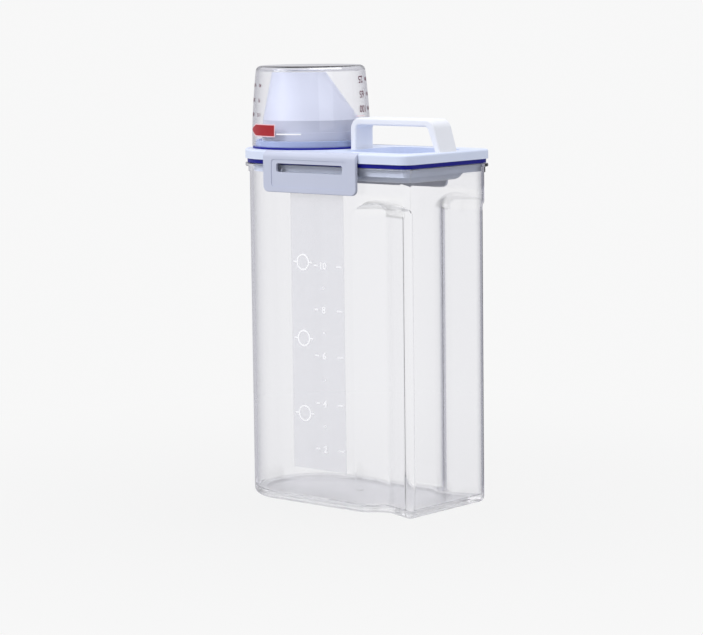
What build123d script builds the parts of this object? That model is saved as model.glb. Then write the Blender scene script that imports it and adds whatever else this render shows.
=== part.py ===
# Rice storage container: a clear canister with a grip waist, a sealed and latched lid with a
# strap handle, and a pouring spout that stands under an upturned measuring cup.
# Axes: X runs along the long side, cup end at -X, handle end at +X. The front is -Y. Z is up.
# The origin is at the middle of the footprint, on the surface that the canister stands on.
import os
from math import cos, radians, sin

from build123d import *

# Fits shared by the pieces
lift_gap = 0.3  # between pieces that part when the lid or the cup is lifted
slip_gap = 0.1  # around a tenon or a neck that stays in its seat
pivot_gap = 0.06  # around a latch trunnion, measured on the radius
cut_overrun = 1.0  # how far a cut runs past the face that it opens

# Canister plan
body_length = 149.0
body_width = 81.0  # across the crowns of the two bulged broad sides
side_bulge = 0.5
cup_end_radius = 35.0
handle_end_radius = 5.0
least_corner = 1.5  # the tightest corner of a plan drawn inside the canister's

# Canister walls
body_height = 216.0
body_wall = 1.8
floor_thickness = 2.4
foot_height = 2.3
foot_inset = 8.0
base_radius = 4.0
floor_radius = 1.5
gate_radius = 2.2
gate_height = 0.4

# Grip waist, one hollow on each broad side near the handle end
grip_reach = 45.2  # from the rear face to where the side begins to draw in
grip_lead_radius = 19.0
grip_lead_angle = 46.0
grip_valley_radius = 9.0
grip_flare_angle = 18.0
grip_top = 195.0
grip_top_radius = 7.0
ridge_radius = 4.5
ridge_end_angle = 82.0
grip_margin = 10.0  # how far the hollow's tool reaches outside the canister

# Canister rim
flange_overhang = 2.6
flange_thickness = 2.0
flange_edge = 0.5
collar_overhang = 0.8
collar_depth = 3.6
tab_length = 51.0
tab_depth = 2.4

# Level scale film on the front
strip_width = 44.0
strip_middle = 2.3
strip_bottom = 24.0
strip_top = 206.0
strip_thickness = 0.25
strip_bond = 0.04  # of clear glue between the canister and the film

# Lid
lid_overhang = 2.6
lid_height = 6.1
lid_plate = 2.4
lid_band = 9.0  # width of the solid rim band
lid_edge = 1.4
rib_gap = 0.9  # between the locating rib and the canister wall
rib_thickness = 1.8
rib_depth = 8.0

# Lid gasket
gasket_height = 2.6
gasket_overhang = 1.3
gasket_width = 2.8

# Finger well under the handle
well_margin = 1.3  # between the well and the feet of the handle
well_width = 60.0
well_corner = 13.0
well_depth = 18.5
well_taper = 4.0
well_wall = 2.0
well_radius = 6.0

# Handle
handle_width = 17.5
handle_strap = 4.6
handle_rise = 20.0
handle_gap = 2.3  # between the cup's rim and the leg beside it
handle_lean = 6.0  # how far the rear leg leans in over its height
handle_corner = 7.5
handle_edge = 1.4
tenon_depth = 1.5
tenon_inset = 1.0

# Pouring spout
spout_setback = 37.0  # from the cup end's face to the spout's and the cup's shared axis
spout_radius = 31.0
spout_wall = 1.6
spout_shoulder = 18.0  # height above the lid where the funnel starts
spout_height = 49.0
spout_mouth_radius = 17.0
spout_lean = 10.5
spout_flange_radius = 33.4
spout_flange = 2.0
spout_collar = 0.9
spout_collar_height = 10.4
neck_radius = 29.0
neck_depth = 9.0

# Ring seal at the foot of the cup
ring_radius = 37.8
ring_thickness = 1.3
ring_lip_radius = 36.0
ring_lip_height = 3.8
ring_edge = 0.4

# Measuring cup, upside down
cup_rim_radius = 38.2
cup_top_radius = 34.8
cup_height = 50.8
cup_bulge = 0.7  # how far the wall bows out between rim and top
cup_wall = 1.2
cup_top = 1.5
cup_round = 3.6

# Latches
latch_width = 77.0
latch_setback = 1.0  # from the end of the cup end's round to the latch
latch_plate = 2.0
latch_drop = 26.0  # from the lid's top to the latch's lower edge
latch_gap = 0.4  # between the latch and the edges of lid and flange
latch_corner = 4.0
latch_edge = 0.6
panel_length = 63.0
panel_height = 17.5
panel_drop = 5.2  # from the lid's top to the sunk panel's upper edge
panel_depth = 0.4
panel_corner = 2.4
window_length = 55.0
window_height = 5.4
window_drop = 7.8
window_corner = 1.4
barrel_radius = 1.6
hinge_depth = 1.7  # from the lid's edge in to the hinge axis
trunnion_radius = 0.9
trunnion_length = 1.5
slot_width = 2.6  # of the slot in the lid's top, behind the hinge axis

# Heights and places worked out from the sizes above
half_length = body_length / 2
half_width = body_width / 2
floor_top = foot_height + floor_thickness
flange_bottom = body_height - flange_thickness
collar_bottom = flange_bottom - collar_depth
gasket_bottom = body_height + lift_gap
lid_bottom = gasket_bottom + gasket_height
lid_top = lid_bottom + lid_height
lid_half_width = half_width + lid_overhang
lid_half_length = half_length + lid_overhang
spout_middle = spout_setback - half_length
latch_middle = cup_end_radius + latch_setback + latch_width / 2 - half_length
latch_face = lid_half_width + latch_gap  # Y distance of the latch's inner face
latch_outer = latch_face + latch_plate
hinge_y = lid_half_width - hinge_depth
knuckle_radius = latch_outer - hinge_y  # rounds the latch's top about the hinge axis
hinge_z = lid_top - knuckle_radius
seat_length = latch_width + 2 * lift_gap
ring_top = lid_top + ring_thickness
cup_rim = ring_top + lift_gap
cup_bow = (cup_rim_radius + cup_top_radius) / 2 + cup_bulge  # radius at half height
handle_left = spout_middle + cup_rim_radius + handle_gap
handle_right = lid_half_length - lid_edge
handle_feet = (handle_left + handle_strap / 2, handle_right - handle_strap / 2)
well_middle = (handle_left + handle_right) / 2
well_length = handle_right - handle_left - 2 * (handle_strap + well_margin)
tenon_length = handle_strap - 2 * tenon_inset
tenon_width = handle_width - 2 * tenon_inset


def heading(angle):
    """A unit step out from the front, turned towards the handle end by the angle."""
    return Vector(sin(radians(angle)), -cos(radians(angle)))


def turn(center, radius, start, end):
    """An arc round a center, from one heading to another."""
    middle = (start + end) / 2
    return ThreePointArc(*[center + heading(angle) * radius for angle in (start, middle, end)])


def canister_plan(growth):
    """The canister's plan without its waist, grown all round."""
    along = half_length + growth
    crown = half_width + growth
    corner = crown - side_bulge
    with BuildSketch() as plan:
        with BuildLine():
            ThreePointArc((-along, -corner), (0, -crown), (along, -corner))
            Line((along, -corner), (along, corner))
            ThreePointArc((along, corner), (0, crown), (-along, corner))
            Line((-along, corner), (-along, -corner))
        make_face()
        fillet(plan.vertices().group_by(Axis.X)[0], cup_end_radius + growth)
        fillet(plan.vertices().group_by(Axis.X)[-1], max(handle_end_radius + growth, least_corner))
    return plan.sketch


def grip_plan(growth):
    """The plan of the front grip hollow, grown into the canister."""
    lead_center = Vector(half_length - grip_reach, grip_lead_radius - half_width)
    valley_center = lead_center + heading(grip_lead_angle) * (grip_lead_radius + grip_valley_radius)
    lead_start = lead_center + heading(0) * (grip_lead_radius - growth)
    valley_radius = grip_valley_radius + growth
    valley_end = valley_center - heading(-grip_flare_angle) * valley_radius
    # The ridge's round touches the flare and the rear face
    flare_line = valley_center - heading(-grip_flare_angle) * (grip_valley_radius + ridge_radius)
    flare_run = (half_length - ridge_radius - flare_line.X) / cos(radians(grip_flare_angle))
    ridge_center = flare_line + heading(90 - grip_flare_angle) * flare_run
    ridge_start = ridge_center + heading(-grip_flare_angle) * (ridge_radius - growth)
    ridge_end = ridge_center + heading(ridge_end_angle) * (ridge_radius - growth)
    leave = heading(90 + ridge_end_angle)
    leave_end = ridge_end + leave * ((half_length + cut_overrun - ridge_end.X) / leave.X)
    outside_x = leave_end.X + grip_margin
    outside_y = -half_width - grip_margin
    with BuildSketch() as plan:
        with BuildLine():
            turn(lead_center, grip_lead_radius - growth, 0, grip_lead_angle)
            turn(valley_center, -valley_radius, grip_lead_angle, -grip_flare_angle)
            Line(valley_end, ridge_start)
            turn(ridge_center, ridge_radius - growth, -grip_flare_angle, ridge_end_angle)
            Line(ridge_end, leave_end)
            Polyline(
                leave_end,
                (outside_x, leave_end.Y),
                (outside_x, outside_y),
                (lead_start.X, outside_y),
                lead_start,
            )
        make_face()
    return plan.sketch


def grip_hollow(growth):
    """The front grip hollow as a solid with a rounded top."""
    with BuildPart(Plane.XY.offset(-cut_overrun)) as hollow:
        add(grip_plan(growth))
        extrude(amount=cut_overrun + grip_top + growth)
        top_edges = hollow.faces().sort_by(Axis.Z)[-1].edges()
        inner_edges = top_edges.filter_by(
            lambda edge: edge.center().Y > -half_width and edge.center().X < half_length + cut_overrun
        )
        fillet(inner_edges, grip_top_radius + growth)
    return hollow.part


def waisted_solid(growth, bottom, top, edge_radius):
    """A block with the canister's waisted plan, its bottom edge rounded."""
    hollow = grip_hollow(-growth)
    with BuildPart() as block:
        with BuildSketch(Plane.XY.offset(bottom)):
            add(canister_plan(growth))
        extrude(amount=top - bottom)
        add(hollow, mode=Mode.SUBTRACT)
        add(hollow.mirror(Plane.XZ), mode=Mode.SUBTRACT)
        fillet(block.faces().sort_by(Axis.Z)[0].edges(), edge_radius)
    return block.part


# Canister
inside = waisted_solid(-body_wall, floor_top, body_height + cut_overrun, floor_radius)

with BuildPart() as body:
    add(waisted_solid(0, 0, body_height, base_radius))
    with BuildSketch(Plane.XY.offset(collar_bottom)):
        add(canister_plan(collar_overhang))
    extrude(amount=collar_depth)
    with BuildSketch(Plane.XY.offset(flange_bottom)):
        add(canister_plan(flange_overhang))
    extrude(amount=flange_thickness)
    flange_top = body.faces().sort_by(Axis.Z)[-1]
    fillet(flange_top.outer_wire().edges(), flange_edge)
    with BuildSketch(Plane.XY.offset(flange_bottom - tab_depth)):
        with Locations((latch_middle, 0)):
            Rectangle(tab_length, body_width + 2 * flange_overhang - 2 * side_bulge)
    extrude(amount=tab_depth)
    add(inside, mode=Mode.SUBTRACT)
    with BuildSketch():
        add(canister_plan(0))
        add(grip_plan(0), mode=Mode.SUBTRACT)
        add(mirror(grip_plan(0), about=Plane.XZ, mode=Mode.PRIVATE), mode=Mode.SUBTRACT)
        offset(amount=-foot_inset)
    extrude(amount=foot_height, mode=Mode.SUBTRACT)
    with BuildSketch(Plane.XY.offset(floor_top)):
        Circle(gate_radius)
    extrude(amount=gate_height)
body.part.label = "body"

# Level scale film
with BuildPart() as scale_strip:
    with BuildSketch(Plane.XY.offset(strip_bottom)):
        add(canister_plan(strip_bond + strip_thickness))
        add(canister_plan(strip_bond), mode=Mode.SUBTRACT)
        with Locations((strip_middle, -half_width)):
            Rectangle(strip_width, half_width, mode=Mode.INTERSECT)
    extrude(amount=strip_top - strip_bottom)
scale_strip.part.label = "scale_strip"

latch_plane = Plane.YZ.offset(latch_middle)

# Room for the front latch in the lid's edge: its knuckle's swing and a socket for each trunnion
with BuildPart() as latch_seat:
    with BuildSketch(latch_plane):
        with Locations((-hinge_y, hinge_z)):
            Circle(knuckle_radius + lift_gap)
            Rectangle(slot_width, knuckle_radius + cut_overrun, align=(Align.MIN, Align.MIN))
        with Locations((-hinge_y, lid_bottom - cut_overrun)):
            Rectangle(hinge_depth + cut_overrun, lid_height + 2 * cut_overrun, align=(Align.MAX, Align.MIN))
    extrude(amount=seat_length / 2, both=True)
    with BuildSketch(latch_plane):
        with Locations((-hinge_y, hinge_z)):
            Circle(trunnion_radius + pivot_gap)
    extrude(amount=seat_length / 2 + trunnion_length, both=True)

# Lid
with BuildPart() as lid:
    with BuildSketch(Plane.XY.offset(lid_bottom)):
        add(canister_plan(lid_overhang))
    extrude(amount=lid_height)
    fillet(lid.faces().sort_by(Axis.Z)[-1].edges(), lid_edge)
    with BuildSketch(Plane.XY.offset(lid_bottom)):
        add(canister_plan(lid_overhang - lid_band))
    extrude(amount=lid_height - lid_plate, mode=Mode.SUBTRACT)
    # Locating rib inside the canister's mouth
    with BuildSketch(Plane.XY.offset(lid_bottom - rib_depth)):
        add(canister_plan(-body_wall - rib_gap))
        add(canister_plan(-body_wall - rib_gap - rib_thickness), mode=Mode.SUBTRACT)
    extrude(amount=rib_depth)
    # Finger well, first the solid and then its hollow
    for inset in (0, well_wall):
        with BuildSketch(Plane.XY.offset(lid_top)):
            with Locations((well_middle, 0)):
                RectangleRounded(well_length - 2 * inset, well_width - 2 * inset, well_corner - inset)
        well = extrude(amount=inset - well_depth, taper=well_taper, mode=Mode.PRIVATE)
        well_bottom = well.faces().sort_by(Axis.Z)[0].edges()
        well = well.solid().fillet(well_radius - inset, well_bottom)
        add(well, mode=Mode.SUBTRACT if inset else Mode.ADD)
    # Spout hole
    with BuildSketch(Plane.XY.offset(lid_top)):
        with Locations((spout_middle, 0)):
            Circle(neck_radius + slip_gap)
    extrude(amount=-lid_height, mode=Mode.SUBTRACT)
    # Latch seats
    add(latch_seat.part, mode=Mode.SUBTRACT)
    add(latch_seat.part.mirror(Plane.XZ), mode=Mode.SUBTRACT)
    # Sockets for the handle's tenons
    with BuildSketch(Plane.XY.offset(lid_top - tenon_depth)):
        with Locations(*[(x, 0) for x in handle_feet]):
            Rectangle(tenon_length + 2 * slip_gap, tenon_width + 2 * slip_gap)
    extrude(amount=tenon_depth, mode=Mode.SUBTRACT)
lid.part.label = "lid"

# Lid gasket
with BuildPart() as lid_gasket:
    with BuildSketch(Plane.XY.offset(gasket_bottom)):
        add(canister_plan(gasket_overhang))
        add(canister_plan(gasket_overhang - gasket_width), mode=Mode.SUBTRACT)
    extrude(amount=gasket_height)
lid_gasket.part.label = "lid_gasket"

# Handle: a strap bent into an arch, its rear leg leaning in, with a tenon under each foot
with BuildPart() as handle:
    for inset in (0, handle_strap):
        with BuildSketch(Plane.XZ) as arch:
            with BuildLine():
                Polyline(
                    (handle_left + inset, lid_top),
                    (handle_left + inset, lid_top + handle_rise - inset),
                    (handle_right - handle_lean - inset, lid_top + handle_rise - inset),
                    (handle_right - inset, lid_top),
                    close=True,
                )
            make_face()
            fillet(arch.vertices().group_by(Axis.Y)[-1], handle_corner - inset)
        extrude(amount=handle_width / 2, both=True, mode=Mode.SUBTRACT if inset else Mode.ADD)
    long_edges = handle.faces().filter_by(Axis.Y).edges()
    fillet(long_edges.filter_by(lambda edge: edge.center().Z > lid_top + handle_edge), handle_edge)
    with BuildSketch(Plane.XY.offset(lid_top - tenon_depth)):
        with Locations(*[(x, 0) for x in handle_feet]):
            Rectangle(tenon_length, tenon_width)
    extrude(amount=tenon_depth)
handle.part.label = "handle"

# Pouring spout: neck through the lid, flange, collar and a funnel that leans to the cup end
def spout_disc(height, middle, radius):
    """A round sketch at a height above the lid's top."""
    with BuildSketch(Plane.XY.offset(lid_top + height)) as disc:
        with Locations((middle, 0)):
            Circle(radius)
    return disc.sketch


with BuildPart() as pour_spout:
    extrude(spout_disc(0, spout_middle, spout_flange_radius), amount=spout_flange)
    extrude(spout_disc(0, spout_middle, spout_radius + spout_collar), amount=spout_collar_height)
    extrude(spout_disc(-neck_depth, spout_middle, neck_radius), amount=neck_depth)
    for inset, start in ((0, 0), (spout_wall, spout_flange)):
        mode = Mode.SUBTRACT if inset else Mode.ADD
        shoulder = spout_disc(spout_shoulder, spout_middle, spout_radius - inset)
        mouth = spout_disc(spout_height, spout_middle - spout_lean, spout_mouth_radius - inset)
        extrude(spout_disc(start, spout_middle, spout_radius - inset), amount=spout_shoulder - start, mode=mode)
        loft([shoulder, mouth], ruled=True, mode=mode)
    neck_bore = spout_disc(-neck_depth, spout_middle, neck_radius - spout_wall)
    extrude(neck_bore, amount=neck_depth + spout_flange, mode=Mode.SUBTRACT)
pour_spout.part.label = "pour_spout"

# Ring seal: a flat ring under the cup's rim with a lip that stands inside the cup
with BuildPart() as spout_gasket:
    with BuildSketch(Plane.XY.offset(lid_top)):
        with Locations((spout_middle, 0)):
            Circle(ring_radius)
    extrude(amount=ring_thickness)
    with BuildSketch(Plane.XY.offset(ring_top)):
        with Locations((spout_middle, 0)):
            Circle(ring_lip_radius)
    extrude(amount=ring_lip_height)
    fillet(spout_gasket.faces().sort_by(Axis.Z)[-1].edges(), ring_edge)
    with BuildSketch(Plane.XY.offset(lid_top)):
        with Locations((spout_middle, 0)):
            Circle(spout_flange_radius + slip_gap)
    extrude(amount=ring_thickness + ring_lip_height, mode=Mode.SUBTRACT)
spout_gasket.part.label = "spout_gasket"

# Measuring cup
cup_plane = Plane((spout_middle, 0, cup_rim), x_dir=(1, 0, 0), z_dir=(0, -1, 0))

with BuildPart() as measuring_cup:
    for inset, roof in ((0, 0), (cup_wall, cup_top)):
        with BuildSketch(cup_plane) as half_section:
            with BuildLine():
                rim = (cup_rim_radius - inset, 0)
                top = (cup_top_radius - inset, cup_height - roof)
                ThreePointArc(rim, (cup_bow - inset, (cup_height - roof) / 2), top)
                Polyline(top, (0, cup_height - roof), (0, 0), rim)
            make_face()
            fillet(half_section.vertices().sort_by(Axis.Y)[-2:].sort_by(Axis.X)[-1], cup_round - inset)
        revolve(axis=Axis((spout_middle, 0, 0), (0, 0, 1)), mode=Mode.SUBTRACT if inset else Mode.ADD)
measuring_cup.part.label = "measuring_cup"

# Latches: a windowed plate that hangs from a rounded knuckle, with a trunnion at each end
with BuildPart() as front_latch:
    with BuildSketch(latch_plane):
        with Locations((-hinge_y, hinge_z)):
            Circle(knuckle_radius)
            Rectangle(knuckle_radius, knuckle_radius, align=(Align.MAX, Align.MIN), mode=Mode.INTERSECT)
            Circle(barrel_radius)
        with Locations((-latch_outer, hinge_z)):
            Rectangle(latch_plate, latch_drop - knuckle_radius, align=(Align.MIN, Align.MAX))
    extrude(amount=latch_width / 2, both=True)
    lower_corners = front_latch.edges().filter_by(Axis.Y).group_by(Axis.Z)[0]
    fillet(lower_corners, latch_corner)
    with BuildSketch(Plane.XZ.offset(latch_face)):
        with Locations((latch_middle, lid_top - window_drop - window_height / 2)):
            RectangleRounded(window_length, window_height, window_corner)
    extrude(amount=latch_plate, mode=Mode.SUBTRACT)
    outer_face = front_latch.faces().sort_by(Axis.Y)[0]
    fillet(outer_face.outer_wire().edges().filter_by(lambda edge: edge.center().Z < hinge_z), latch_edge)
    with BuildSketch(Plane.XZ.offset(latch_outer - panel_depth)):
        with Locations((latch_middle, lid_top - panel_drop - panel_height / 2)):
            RectangleRounded(panel_length, panel_height, panel_corner)
    extrude(amount=panel_depth, mode=Mode.SUBTRACT)
    with BuildSketch(latch_plane):
        with Locations((-hinge_y, hinge_z)):
            Circle(trunnion_radius)
    extrude(amount=latch_width / 2 + trunnion_length, both=True)
front_latch.part.label = "front_latch"

with BuildPart() as rear_latch:
    add(front_latch.part.mirror(Plane.XZ))
rear_latch.part.label = "rear_latch"

os.makedirs("parts", exist_ok=True)
pieces = (
    body,
    scale_strip,
    lid,
    lid_gasket,
    handle,
    pour_spout,
    spout_gasket,
    measuring_cup,
    front_latch,
    rear_latch,
)
for piece in pieces:
    export_step(piece.part, f"parts/{piece.part.label}.step")
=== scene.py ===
from math import cos, pi, radians, sin

import bmesh
import bpy
from mathutils import Matrix, Vector


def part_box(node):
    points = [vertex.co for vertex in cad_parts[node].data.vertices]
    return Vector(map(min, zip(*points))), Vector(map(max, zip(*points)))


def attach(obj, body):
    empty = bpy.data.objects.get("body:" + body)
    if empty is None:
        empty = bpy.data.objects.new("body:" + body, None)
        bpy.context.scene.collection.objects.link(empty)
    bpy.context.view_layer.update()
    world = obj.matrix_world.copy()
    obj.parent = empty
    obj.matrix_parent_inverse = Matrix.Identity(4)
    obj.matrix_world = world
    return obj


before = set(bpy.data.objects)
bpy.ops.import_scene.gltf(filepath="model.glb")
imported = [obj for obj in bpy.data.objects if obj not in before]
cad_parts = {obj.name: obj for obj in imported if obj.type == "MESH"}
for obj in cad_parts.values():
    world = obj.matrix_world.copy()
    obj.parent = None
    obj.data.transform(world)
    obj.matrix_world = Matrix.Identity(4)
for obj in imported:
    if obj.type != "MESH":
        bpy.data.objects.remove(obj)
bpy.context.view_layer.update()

# Units: every length below is in metres
mm = 0.001

# Camera, found from the object's outline in the photograph
image_width = 703
focal_pixels = 2529.2
sensor_width = 36.0
camera_azimuth = 0.7127
camera_pitch = 0.1243
camera_roll = 0.01205
camera_distance = 1607.3 * mm
camera_height = 317.6 * mm
camera_sideways = -3.95 * mm

# Canister: its broad sides, its grips and its base
body_low, body_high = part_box("body")
side_half_length = 74.5 * mm
side_half_width = 40.5 * mm
side_sag = 0.5 * mm  # how far a broad side falls back from its crown to its ends
grip_start = body_high.x - 50 * mm  # where the broad sides draw in
grip_end = body_high.x - 30 * mm
ledge_start = 185.5 * mm  # the rounded top of a grip
ledge_full = 187.5 * mm
ledge_fade = 198 * mm
ledge_stop = 201 * mm
corner_start = side_half_length - 6 * mm
far_start = body_high.y - 16 * mm
base_top = 14 * mm

# Cup, film and ring
film_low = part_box("scale_strip")[0]
ring_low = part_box("spout_gasket")[0]
lip_start = ring_low.z + 0.9 * mm
lip_full = ring_low.z + 2.0 * mm
cup_low, cup_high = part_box("measuring_cup")
cup_middle = (cup_low.x + cup_high.x) / 2
cup_rim_radius = (cup_high.x - cup_low.x) / 2
cup_height = cup_high.z - cup_low.z
cup_taper = 3.4 * mm  # how much narrower the cup is at its top
cup_bulge = 0.7 * mm  # how far its wall bows out at half height


# Shader maths
class Value:
    """A node's output that takes part in sums and products."""

    def __init__(self, paint, socket):
        self.paint = paint
        self.socket = socket

    def math(self, operation, first, second):
        return self.paint.node("ShaderNodeMath", {"operation": operation}, {0: first, 1: second})

    def at_least(self, other):
        return self.math("MAXIMUM", self, other)

    def at_most(self, other):
        return self.math("MINIMUM", self, other)

    def __add__(self, other):
        return self.math("ADD", self, other)

    def __sub__(self, other):
        return self.math("SUBTRACT", self, other)

    def __rsub__(self, other):
        return self.math("SUBTRACT", other, self)

    def __mul__(self, other):
        return self.math("MULTIPLY", self, other)

    def __pow__(self, other):
        return self.math("POWER", self, other)

    def __rpow__(self, other):
        return self.math("POWER", other, self)

    __radd__ = __add__
    __rmul__ = __mul__


class Paint:
    """One material and the nodes that it is made of."""

    output_kind = "ShaderNodeOutputMaterial"

    def __init__(self, name):
        self.use(bpy.data.materials.new(name))

    def use(self, owner):
        """Starts the owner's nodes from nothing."""
        self.owner = owner
        owner.use_nodes = True
        self.tree = owner.node_tree
        self.tree.nodes.clear()

    def node(self, kind, settings, sockets, output=0):
        """A node with its settings made first, then its sockets filled; returns one of its outputs."""
        made = self.tree.nodes.new(kind)
        for name, setting in settings.items():
            setattr(made, name, setting)
        for name, value in sockets.items():
            if isinstance(value, Value):
                self.tree.links.new(value.socket, made.inputs[name])
            else:
                made.inputs[name].default_value = value
        return Value(self, made.outputs[output]) if len(made.outputs) else None

    def mix_colour(self, share, first, second):
        """One colour turning into another as the share goes from 0 to 1."""
        return self.node("ShaderNodeMix", {"data_type": "RGBA"}, {0: share, 6: first, 7: second}, 2)

    def between(self, share, limits):
        """A number that goes from the first limit to the second as the share goes from 0 to 1."""
        low, high = limits
        return share * (high - low) + low

    def place(self):
        """The place on the piece, in metres."""
        return self.node("ShaderNodeTexCoord", {}, {}, "Object")

    def smooth_step(self, value, limits, shares=(0.0, 1.0)):
        """A share that goes smoothly from the first to the second as the value crosses the limits."""
        sockets = {"Value": value, "From Min": limits[0], "From Max": limits[1]}
        sockets |= {"To Min": shares[0], "To Max": shares[1]}
        return self.node("ShaderNodeMapRange", {"interpolation_type": "SMOOTHSTEP"}, sockets)

    def rise(self, low, high, axis):
        """A share that goes from 0 to 1 between two places along an axis."""
        along = self.node("ShaderNodeSeparateXYZ", {}, {0: self.place()}, axis)
        return self.smooth_step(along, (low, high))

    def noise(self, size, detail=2.0, roughness=0.5):
        """Cloudy variation whose patches are about the given size across."""
        sockets = {"Vector": self.place(), "Scale": 1.0 / size, "Detail": detail, "Roughness": roughness}
        return self.node("ShaderNodeTexNoise", {}, sockets)

    def bump(self, height, depth, strength):
        return self.node("ShaderNodeBump", {}, {"Height": height, "Distance": depth, "Strength": strength})

    def ray(self, fact):
        """What is known of the ray of light that meets the surface."""
        return self.node("ShaderNodeLightPath", {}, {}, fact)

    def principled(self, sockets):
        return self.node("ShaderNodeBsdfPrincipled", {}, sockets)

    def surface(self, shader):
        self.node(self.output_kind, {}, {"Surface": shader})
        return self.owner


def colour(red, green, blue):
    """A colour as it looks on a screen, from 0 to 255, made linear."""
    return tuple((part / 255) ** 2.2 for part in (red, green, blue)) + (1.0,)


def grey(shade):
    return (shade, shade, shade, 1.0)


# Clear plastic: painted shade where it is seen edge on, and how solid it looks
clear_ior = 1.49
clear_roughness = (0.01, 0.04)  # in its clearest and its haziest patches
haze_size = 12 * mm
wave_size = 35 * mm
wave_depth = 0.05 * mm
wave_strength = 0.3
# Painted edge shade: how fast it grows toward edge on, how much more the far side and rear corner get, how
# much less the near grip and base get
edge_power = 2.6
far_edge_shading = 9.0
corner_edge_shading = 1.1
near_edge_shade_cut = 0.9
base_edge_shade_cut = 0.45
ledge_thinning = 0.85
base_thinning = 0.3


def canister_edge_shading(paint, painted_edge_share):
    """How much painted shade the canister's edges get: most at its far rear corner, least at its base and
    front grip.
    """
    rear = paint.rise(grip_start, grip_end, "X")
    far = paint.rise(far_start, body_high.y, "Y") * rear
    near = paint.rise(0.0, body_low.y, "Y") * rear
    base = paint.rise(base_top, body_low.z, "Z")
    corner_length = paint.rise(corner_start, side_half_length, "X")
    corner = corner_length * paint.rise(far_start, side_half_width, "Y")
    changed = far * painted_edge_share * far_edge_shading - near * near_edge_shade_cut - base * base_edge_shade_cut + 1.0
    return painted_edge_share * changed + corner * corner_edge_shading


def canister_solidity(paint):
    """How solid the canister looks: its base and the tops of its grips, seen edge on, are thinned."""
    grip = paint.rise(grip_start, grip_end, "X") * paint.rise(side_half_length, corner_start, "X")
    sides = paint.rise(0.0, body_low.y, "Y") + paint.rise(0.0, body_high.y, "Y")
    ledge = paint.rise(ledge_start, ledge_full, "Z") * paint.rise(ledge_stop, ledge_fade, "Z")
    base = paint.rise(base_top, body_low.z, "Z")
    return 1.0 - sides * grip * ledge * ledge_thinning - base * base_thinning


def clear_plastic(name, tint, painted_edge_tone, edge_shading=None, solidity=None):
    """Clear moulded plastic with painted shade where it is seen edge on, and that lets lamps through."""
    paint = Paint(name)
    # Painted shade: the base colour darkens toward the second tone where the surface is seen edge on
    facing = paint.node("ShaderNodeLayerWeight", {}, {"Blend": 0.5}, "Facing")
    painted_edge_share = facing ** edge_power
    if edge_shading:
        painted_edge_share = edge_shading(paint, painted_edge_share)
    clear = paint.principled(
        {
            "Base Color": paint.mix_colour(painted_edge_share, tint, painted_edge_tone),
            "Roughness": paint.between(paint.noise(haze_size), clear_roughness),
            "Normal": paint.bump(paint.noise(wave_size, 1.0), wave_depth, wave_strength),
            "IOR": clear_ior,
            "Transmission Weight": 1.0,
            "Alpha": solidity(paint) if solidity else 1.0,
        }
    )
    through = paint.node("ShaderNodeBsdfTransparent", {}, {"Color": tint})
    sockets = {0: paint.ray("Is Shadow Ray"), 1: clear, 2: through}
    return paint.surface(paint.node("ShaderNodeMixShader", {}, sockets))


# White plastic, seals, film and ink
low_sheen = 0.25
flow_size = 28 * mm  # clouds left where the plastic flowed
flow_roughness = 0.10
grain_size = 0.35 * mm
grain_depth = 0.02 * mm
grain_strength = 0.35
grain_roughness = 0.06
bloom_size = 5 * mm  # dusty patches on the soft seals
bloom_power = 2.0
seal_roughness = (0.38, 0.58)
seal_grain_size = 0.25 * mm
seal_grain_strength = 0.3
film_cloud_size = 40 * mm
film_roughness = (0.25, 0.40)
film_cover = 0.16
wear_size = 1.2 * mm
ink_roughness = (0.4, 0.6)


def moulded_plastic(name, tone, shade_tone, roughness):
    """White moulded plastic: faint flow clouds, a fine grain and a satin gloss."""
    paint = Paint(name)
    clouds = paint.noise(flow_size, 3.0)
    grain = paint.noise(grain_size)
    smoothest = roughness - (flow_roughness + grain_roughness) / 2
    sockets = {
        "Base Color": paint.mix_colour(clouds, tone, shade_tone),
        "Roughness": clouds * flow_roughness + grain * grain_roughness + smoothest,
        "Normal": paint.bump(grain, grain_depth, grain_strength),
        "Specular IOR Level": low_sheen,
    }
    return paint.surface(paint.principled(sockets))


def soft_seal(name, tone, light_tone, lip_tone=None):
    """Blue silicone with a dusty bloom, turning paler in the lip where it has one."""
    paint = Paint(name)
    bloom = paint.noise(bloom_size, 4.0, 0.6)
    shade = paint.mix_colour(bloom ** bloom_power, tone, light_tone)
    if lip_tone:
        shade = paint.mix_colour(paint.rise(lip_start, lip_full, "Z"), shade, lip_tone)
    sockets = {
        "Base Color": shade,
        "Specular IOR Level": low_sheen,
        "Roughness": paint.between(bloom, seal_roughness),
        "Normal": paint.bump(paint.noise(seal_grain_size), grain_depth, seal_grain_strength),
    }
    return paint.surface(paint.principled(sockets))


def tinted_film(name, tone, shade_tone):
    """A thin lavender film that shows what is behind it."""
    paint = Paint(name)
    clouds = paint.noise(film_cloud_size)
    sockets = {
        "Base Color": paint.mix_colour(clouds, tone, shade_tone),
        "Roughness": paint.between(clouds, film_roughness),
        "Alpha": film_cover,
    }
    return paint.surface(paint.principled(sockets))


def print_ink(name, tone, worn_tone, painted_glow=0.0):
    """Screen-printed ink, a little uneven, with a painted glow of even strength where one is given."""
    paint = Paint(name)
    wear = paint.noise(wear_size, 3.0)
    shade = paint.mix_colour(wear, tone, worn_tone)
    sockets = {
        "Base Color": shade,
        "Emission Color": shade,
        "Emission Strength": painted_glow,
        "Roughness": paint.between(wear, ink_roughness),
    }
    return paint.surface(paint.principled(sockets))


# Each clear plastic: its own faint tint, then the tone of the painted shade on its edges
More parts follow.
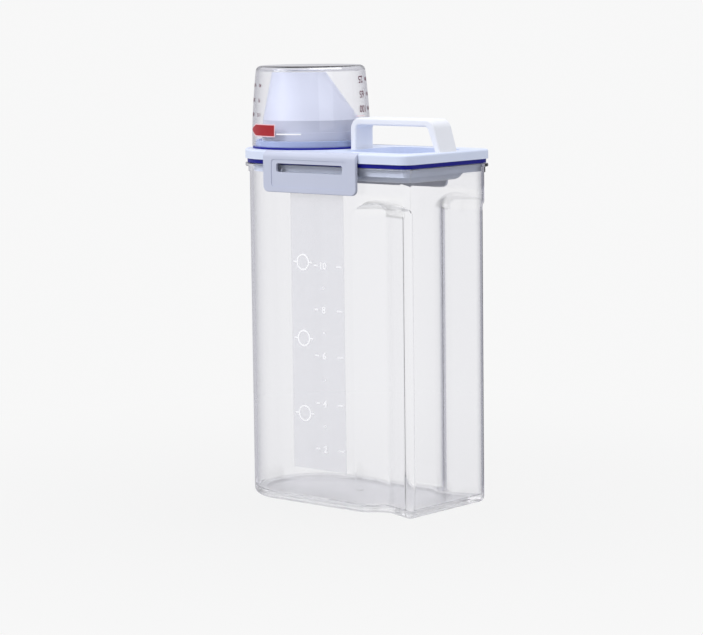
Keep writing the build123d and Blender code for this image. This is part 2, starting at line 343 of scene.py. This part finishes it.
canister_tint_and_edge_shade = (colour(253, 253, 254), colour(138, 138, 152))
canister_finish = clear_plastic("clear canister", *canister_tint_and_edge_shade, canister_edge_shading, canister_solidity)
cup_finish = clear_plastic("clear cup", colour(252, 252, 254), colour(150, 150, 162))
lid_finish = moulded_plastic("white lid", colour(224, 232, 251), colour(216, 225, 248), 0.36)
handle_finish = moulded_plastic("white handle", colour(240, 242, 248), colour(234, 236, 244), 0.4)
# The latch's darker blue grey is partly its own plastic and partly painted shade for its front faces
latch_finish_with_painted_shade = moulded_plastic("white latch", colour(204, 209, 228), colour(194, 199, 219), 0.34)
spout_finish = moulded_plastic("milky spout", colour(218, 222, 238), colour(208, 213, 231), 0.4)
seal_tones = (colour(5, 9, 132), colour(14, 20, 150))
seal_finish = soft_seal("blue seal", *seal_tones)
ring_finish = soft_seal("blue ring seal", *seal_tones, colour(172, 188, 228))
film_finish = tinted_film("tinted film", colour(222, 222, 234), colour(212, 212, 226))
# White print gets a painted glow that keeps it bright
white_ink = print_ink("white print", colour(252, 252, 253), colour(244, 244, 248), 0.16)
dark_ink = print_ink("maroon print", colour(84, 20, 44), colour(104, 40, 64))
red_ink = print_ink("red print", colour(174, 3, 30), colour(158, 2, 27))
blush_ink = print_ink("pale print", colour(250, 214, 220), colour(246, 200, 208))

for node, finish in {
    "body": canister_finish,
    "scale_strip": film_finish,
    "lid": lid_finish,
    "lid_gasket": seal_finish,
    "handle": handle_finish,
    "pour_spout": spout_finish,
    "spout_gasket": ring_finish,
    "measuring_cup": cup_finish,
    "front_latch": latch_finish_with_painted_shade,
    "rear_latch": latch_finish_with_painted_shade,
}.items():
    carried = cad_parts[node]
    carried.data.materials.clear()
    carried.data.materials.append(finish)


# Prints: flat outlines in a plane of their own, laid on a curved surface as thin raised ink
print_lift = 0.03 * mm  # how far a print's back stands off its surface
print_thickness = 0.05 * mm
print_step = 1.5 * mm  # width of the strips that a print is cut into
weld_distance = 0.0005 * mm
figure_weight = 0.012  # how much bolder than the font, as a share of the letter size
figure_smoothness = 3
dot_sides = 20
ring_sides = 48


def on_circle(middle, height, radius, turn):
    """The point of a circle at a share of its full turn."""
    angle = 2 * pi * turn
    return (middle + radius * cos(angle), height + radius * sin(angle))


def bar(middle, height, width, thickness):
    """A rectangle as one outline."""
    left = middle - width / 2
    low = height - thickness / 2
    return [[(left, low), (left + width, low), (left + width, low + thickness), (left, low + thickness)]]


def dot(middle, height, radius):
    """A small disc as one outline."""
    return [[on_circle(middle, height, radius, step / dot_sides) for step in range(dot_sides)]]


def ring(middle, height, radius, stroke):
    """A circle drawn with a stroke, as short outlines."""
    outlines = []
    inner = radius - stroke
    for step in range(ring_sides):
        ends = (step / ring_sides, (step + 1) / ring_sides)
        outer_side = [on_circle(middle, height, radius, turn) for turn in ends]
        inner_side = [on_circle(middle, height, inner, turn) for turn in reversed(ends)]
        outlines.append(outer_side + inner_side)
    return outlines


def figure_faces(text):
    """The faces of a number's figures in the built-in font, as lists of points."""
    curve = bpy.data.curves.new("figures", "FONT")
    curve.body = text
    curve.size = 1.0
    curve.resolution_u = figure_smoothness
    curve.offset = figure_weight
    figure = bpy.data.objects.new("figures", curve)
    mesh = figure.to_mesh()
    points = [vertex.co.copy() for vertex in mesh.vertices]
    faces = [[points[index] for index in face.vertices] for face in mesh.polygons]
    figure.to_mesh_clear()
    bpy.data.objects.remove(figure)
    bpy.data.curves.remove(curve)
    return faces


def number(text, middle, height, tall, upside_down=False):
    """A number's figures, centred on a point."""
    faces = figure_faces(text)
    xs = [point.x for face in faces for point in face]
    ys = [point.y for face in faces for point in face]
    scale = tall / (max(ys) - min(ys))
    if upside_down:
        scale = -scale
    center_x = (max(xs) + min(xs)) / 2
    center_y = (max(ys) + min(ys)) / 2
    outlines = []
    for face in faces:
        outlines.append(
            [(middle + scale * (p.x - center_x), height + scale * (p.y - center_y)) for p in face]
        )
    return outlines


def on_film(along, up, out):
    """A point of the film's outer face: place along the canister, height, distance off the face."""
    sag = side_sag * (along / side_half_length) ** 2
    return (along, film_low.y + sag - out, up)


def cup_radius(up):
    share = (up - cup_low.z) / cup_height
    return cup_rim_radius - cup_taper * share + 4 * cup_bulge * share * (1 - share)


def on_cup(along, up, out):
    """A point of the cup's outer face: way round from its front, height, distance off the face."""
    reach = cup_radius(up) + out
    angle = along / cup_rim_radius
    return (cup_middle + reach * sin(angle), -reach * cos(angle), up)


def cut_in_strips(ink):
    """Cuts flat ink narrow enough to follow a curved surface."""
    first = min(vert.co.x for vert in ink.verts)
    last = max(vert.co.x for vert in ink.verts)
    cut = first + print_step
    while cut < last:
        whole = ink.verts[:] + ink.edges[:] + ink.faces[:]
        bmesh.ops.bisect_plane(
            ink, geom=whole, dist=weld_distance, plane_co=(cut, 0, 0), plane_no=(1, 0, 0)
        )
        cut += print_step


def raised_ink(outlines, surface, order):
    """Thin raised ink with the given outlines, lying on a surface."""
    ink = bmesh.new()
    for outline in outlines:
        ink.faces.new([ink.verts.new((along, up, 0.0)) for along, up in outline])
    bmesh.ops.remove_doubles(ink, verts=ink.verts, dist=weld_distance)
    bmesh.ops.recalc_face_normals(ink, faces=ink.faces)
    cut_in_strips(ink)
    grown = bmesh.ops.extrude_face_region(ink, geom=ink.faces[:])["geom"]
    fronts = {part for part in grown if isinstance(part, bmesh.types.BMVert)}
    for vert in ink.verts:
        out = order * print_lift + (print_thickness if vert in fronts else 0.0)
        vert.co = surface(vert.co.x, vert.co.y, out)
    bmesh.ops.recalc_face_normals(ink, faces=ink.faces)
    return ink


def lay_print(name, body, finish, outlines, surface, order=1):
    """A print as a piece of its own; a higher order lies on top of a lower one."""
    ink = raised_ink(outlines, surface, order)
    mesh = bpy.data.meshes.new(name)
    ink.to_mesh(mesh)
    ink.free()
    mesh.materials.append(finish)
    piece = bpy.data.objects.new(name, mesh)
    bpy.context.scene.collection.objects.link(piece)
    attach(piece, body)


# Level scale on the film
level_heights = {"10": 153.9 * mm, "8": 126.1 * mm, "6": 97.0 * mm, "4": 66.7 * mm, "2": 37.6 * mm}
number_middle = 7.2 * mm
number_tall = 4.4 * mm
tick_thickness = 0.8 * mm
near_tick_middle = 1.0 * mm
near_tick_width = 3.2 * mm
edge_tick_middle = 20.2 * mm
edge_tick_width = 4.2 * mm
between_dot_radius = 0.7 * mm
ring_middle = -9.8 * mm
ring_radius = 5.2 * mm
ring_stroke = 0.9 * mm
ring_heights = (155.4 * mm, 107.2 * mm, 59.2 * mm)
ring_tick_width = 2.6 * mm

scale_outlines = []
levels = sorted(level_heights.values())
for text, height in level_heights.items():
    scale_outlines += number(text, number_middle, height, number_tall)
    scale_outlines += bar(near_tick_middle, height, near_tick_width, tick_thickness)
    scale_outlines += bar(edge_tick_middle, height, edge_tick_width, tick_thickness)
for low, high in zip(levels, levels[1:]):
    scale_outlines += dot(number_middle, (low + high) / 2, between_dot_radius)
for height in ring_heights:
    scale_outlines += ring(ring_middle, height, ring_radius, ring_stroke)
    for side in (-1, 1):
        tick_middle = ring_middle + side * (ring_radius + ring_tick_width / 2)
        scale_outlines += bar(tick_middle, height, ring_tick_width, tick_thickness)
lay_print("level_scale_print", "canister", white_ink, scale_outlines, on_film)


# Measures, lines and the red tag on the cup, printed to be read with the cup's mouth upward
def round_cup(degrees):
    """The way round the cup's rim from its front to a point so far round from where the camera is."""
    return cup_rim_radius * (camera_azimuth + radians(degrees))


# Each measure is the cup's content in millilitres, to the nearest five, at the height of its mark
right_measures = {"25": 268.4 * mm, "65": 259.0 * mm, "100": 249.8 * mm}
right_number_middle = round_cup(63.0)
right_number_tall = 4.6 * mm
right_dot_middle = round_cup(80.0)
left_measures = {"40": 265.2 * mm, "75": 255.8 * mm, "115": 246.6 * mm}
left_number_middle = round_cup(-62.0)
left_number_tall = 2.3 * mm
left_dot_middle = round_cup(-80.0)
measure_dot_radius = 1.4 * mm
measure_line_middle = round_cup(58.0)
measure_line_width = 10.0 * mm
measure_line_height = 245.4 * mm
measure_line_thickness = tick_thickness / 2
# A thin white line near the rim, drawn as raised white ink
rim_line_middle = round_cup(-22.0)
rim_line_width = 17.0 * mm
rim_line_height = 234.9 * mm
tag_left = round_cup(-84.0)
tag_right = round_cup(-36.5)
tag_point = 10.5 * mm
tag_middle = 237.0 * mm
tag_tall = 8.0 * mm
tag_border = 0.6 * mm
tag_order = 3


def tag_outline(inset):
    """The tag's five corners: a rectangle with a point at its left end."""
    left = tag_left + inset
    right = tag_right - inset
    half = tag_tall / 2 - inset
    point = left + tag_point
    return [
        (left, tag_middle),
        (point, tag_middle - half),
        (right, tag_middle - half),
        (right, tag_middle + half),
        (point, tag_middle + half),
    ]


measure_outlines = []
for text, height in right_measures.items():
    measure_outlines += number(text, right_number_middle, height, right_number_tall, True)
    measure_outlines += dot(right_dot_middle, height, measure_dot_radius)
for text, height in left_measures.items():
    measure_outlines += number(text, left_number_middle, height, left_number_tall, True)
    measure_outlines += dot(left_dot_middle, height, measure_dot_radius)
rim_line = bar(rim_line_middle, rim_line_height, rim_line_width, tick_thickness)
measure_line = bar(measure_line_middle, measure_line_height, measure_line_width, measure_line_thickness)
lay_print("cup_measure_print", "cup", dark_ink, measure_outlines, on_cup)
lay_print("cup_tag_border_print", "cup", blush_ink, [tag_outline(0.0)], on_cup)
lay_print("cup_tag_print", "cup", red_ink, [tag_outline(tag_border)], on_cup, tag_order)
lay_print("cup_rim_white_line", "cup", white_ink, rim_line, on_cup)
lay_print("cup_line_print", "cup", blush_ink, measure_line, on_cup)

# Stage: floor, studio light and lamps
backdrop_shade = 0.935
room_shade = 0.7  # what mirror-like reflections see instead of the backdrop
room_blue = 1.06
floor_albedo = 0.42
floor_reach = 6.0
shadow_share = 0.08  # how much of the floor's look is its own lit shade, close to the object
shadow_reach = 0.45
ambient_tint = (0.97, 0.98, 1.0, 1.0)
ambient_strength = 0.82
lamp_aim = Vector((0.0, 0.0, 0.16))
lamp_width = 0.9
key_place = Vector((-0.75, -1.25, 1.15))
key_power = 10.8
fill_place = Vector((1.5, -0.5, 0.7))
fill_power = 1.4
top_place = Vector((0.1, 0.35, 1.5))
top_power = 6.6


def seen_share(paint):
    """1 for a ray that comes from the camera straight, by a reflection or through clear plastic.

    A ray that a dull surface scattered on its way is lit by the room, inside clear plastic too.
    """
    seen = paint.ray("Is Camera Ray")
    for fact in ("Is Glossy Ray", "Is Transmission Ray"):
        seen = seen.at_least(paint.ray(fact))
    return seen * (1.0 - paint.ray("Diffuse Depth").at_most(1.0))


def seen_shade(paint):
    """The backdrop's shade, or the room's for a ray that was reflected on its way."""
    reflected = paint.ray("Glossy Depth").at_most(1.0)
    room = (room_shade, room_shade, room_shade * room_blue, 1.0)
    return paint.mix_colour(reflected, grey(backdrop_shade), room)


def floor_paint():
    """A pale floor that looks like the backdrop, and takes the object's shadow close to it."""
    paint = Paint("pale floor")
    even = paint.node("ShaderNodeEmission", {}, {"Color": seen_shade(paint)})
    lit = paint.node("ShaderNodeBsdfDiffuse", {}, {"Color": grey(floor_albedo)})
    away = paint.node("ShaderNodeVectorMath", {"operation": "LENGTH"}, {0: paint.place()}, "Value")
    even_share = paint.smooth_step(away, (0.0, shadow_reach), (1.0 - shadow_share, 1.0))
    share = seen_share(paint) * even_share
    return paint.surface(paint.node("ShaderNodeMixShader", {}, {0: share, 1: lit, 2: even}))


floor_corners = ((-1, -1), (1, -1), (1, 1), (-1, 1))
floor_mesh = bpy.data.meshes.new("floor")
floor_mesh.from_pydata(
    [(x * floor_reach, y * floor_reach, 0.0) for x, y in floor_corners],
    [],
    [range(len(floor_corners))],
)
floor_mesh.materials.append(floor_paint())
floor = bpy.data.objects.new("floor", floor_mesh)
bpy.context.scene.collection.objects.link(floor)


class Sky(Paint):
    """The world's own nodes, made in the same way as a material's."""

    output_kind = "ShaderNodeOutputWorld"

    def __init__(self, name):
        self.use(bpy.data.worlds.new(name))


sky = Sky("studio")
ambient = sky.node("ShaderNodeBackground", {}, {"Color": ambient_tint, "Strength": ambient_strength})
backdrop = sky.node("ShaderNodeBackground", {}, {"Color": seen_shade(sky)})
sky_light = sky.node("ShaderNodeMixShader", {}, {0: seen_share(sky), 1: ambient, 2: backdrop})
bpy.context.scene.world = sky.surface(sky_light)


def soft_lamp(name, place, power):
    """A square soft box turned to the object."""
    data = bpy.data.lights.new(name, "AREA")
    data.shape = "SQUARE"
    data.size = lamp_width
    data.energy = power
    lamp = bpy.data.objects.new(name, data)
    lamp.location = place
    lamp.rotation_mode = "QUATERNION"
    lamp.rotation_quaternion = (lamp_aim - place).to_track_quat("-Z", "Y")
    bpy.context.scene.collection.objects.link(lamp)


soft_lamp("key", key_place, key_power)
soft_lamp("fill", fill_place, fill_power)
soft_lamp("top", top_place, top_power)

# Camera
right = Vector((cos(camera_azimuth), sin(camera_azimuth), 0.0))
ahead = Vector((-sin(camera_azimuth), cos(camera_azimuth), 0.0))
upright = Vector((0.0, 0.0, 1.0))
looking = ahead * cos(camera_pitch) - upright * sin(camera_pitch)
over = ahead * sin(camera_pitch) + upright * cos(camera_pitch)
rolled_right = right * cos(camera_roll) - over * sin(camera_roll)
rolled_over = over * cos(camera_roll) + right * sin(camera_roll)
camera_data = bpy.data.cameras.new("camera")
camera_data.sensor_width = sensor_width
camera_data.sensor_fit = "HORIZONTAL"
camera_data.lens = focal_pixels / image_width * sensor_width
camera = bpy.data.objects.new("camera", camera_data)
camera_place = right * camera_sideways - ahead * camera_distance + upright * camera_height
turned = Matrix((rolled_right, rolled_over, -looking)).transposed()
camera.matrix_world = Matrix.Translation(camera_place) @ turned.to_4x4()
bpy.context.scene.collection.objects.link(camera)
bpy.context.scene.camera = camera
bpy.context.scene.view_settings.view_transform = "Standard"
